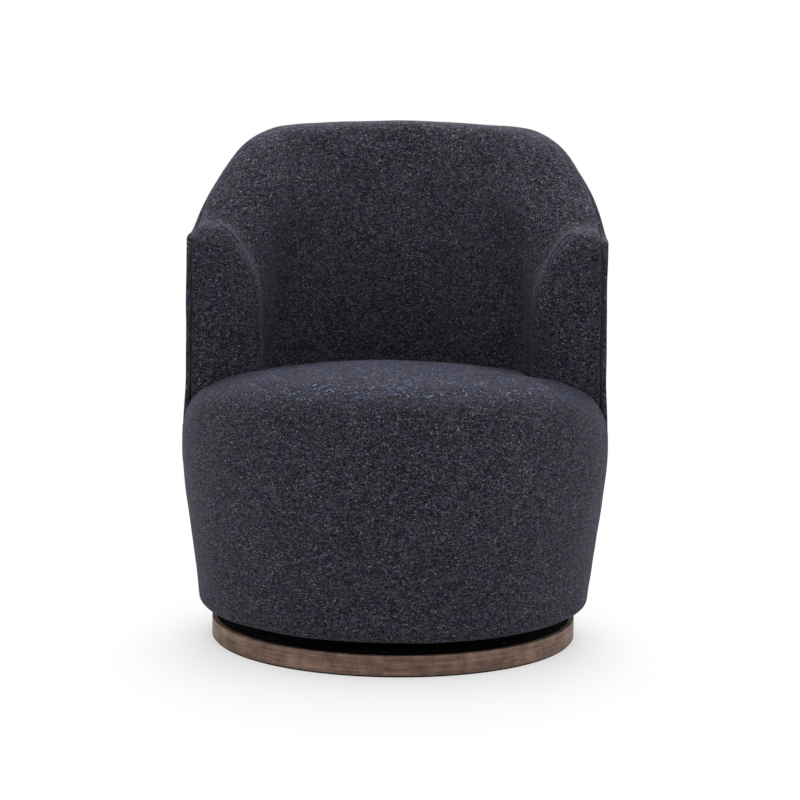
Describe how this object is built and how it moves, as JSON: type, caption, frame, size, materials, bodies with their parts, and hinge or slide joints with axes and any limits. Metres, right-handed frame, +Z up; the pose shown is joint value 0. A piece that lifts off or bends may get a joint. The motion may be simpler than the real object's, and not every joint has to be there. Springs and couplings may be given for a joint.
{
  "type": "swivel barrel chair",
  "caption": "Upholstered swivel barrel chair with a round seat drum, a curved shell whose arms sweep up into the back, and a low round wooden plinth.",
  "frame": {"origin": "on the floor under the swivel's axis, at the plinth's centre", "axes": "+Z up; the chair faces -Y; +X is to the right of someone looking at its front"},
  "size_m": [0.6988, 0.6986, 0.821],
  "materials": {
    "glide": "matt dark grey",
    "walnut": "stained walnut veneer, satin",
    "plywood": "raw plywood",
    "black_board": "black paint, matt",
    "zinc_steel": "zinc plated",
    "pressed_steel": "black coated pressed steel",
    "ball_steel": "polished ball steel",
    "retainer_nylon": "natural nylon",
    "black_cloth": "black non-woven cloth",
    "spring_steel": "oiled spring wire",
    "chipboard": "bendable board",
    "foam": "upholstery foam",
    "webbing": "elastic webbing",
    "upholstery": "heathered charcoal and navy plain weave"
  },
  "bodies": {
    "base": {"foot_ring": "glide", "plinth_band": "walnut", "plinth_rim": "plywood", "plinth_top": "black_board", "plinth_screws": "zinc_steel", "swivel_lower_plate": "pressed_steel", "lower_plate_screws": "zinc_steel", "pivot_rivet": "zinc_steel"},
    "ball_cage": {"ball_retainer": "retainer_nylon", "bearing_balls": "ball_steel"},
    "seat_body": {"swivel_upper_plate": "pressed_steel", "upper_plate_bolts": "zinc_steel", "tee_nuts": "zinc_steel", "swivel_spacer": "plywood", "bottom_board": "plywood", "dust_cover": "black_cloth", "seat_posts": "plywood", "seat_ring": "plywood", "seat_springs": "spring_steel", "spring_clips": "zinc_steel", "spring_felt": "black_cloth", "front_board": "chipboard", "front_padding": "foam", "seat_foam": "foam", "seat_cover": "upholstery", "back_posts": "plywood", "top_rail": "plywood", "back_webbing": "webbing", "inside_foam": "foam", "inside_cover": "upholstery", "outer_board": "chipboard", "outer_cover": "upholstery"}
  },
  "joints": [
    {"name": "swivel", "type": "hinge", "parent": "base", "child": "seat_body", "pos_m": [0, 0, 0.0395], "axis": [0, 0, 1], "continuous": true},
    {"name": "cage_turn", "type": "hinge", "parent": "base", "child": "ball_cage", "pos_m": [0, 0, 0.0395], "axis": [0, 0, 1], "continuous": true}
  ],
  "couplings": [
    {"joint": "cage_turn", "follows": "swivel", "ratio": 0.5}
  ]
}
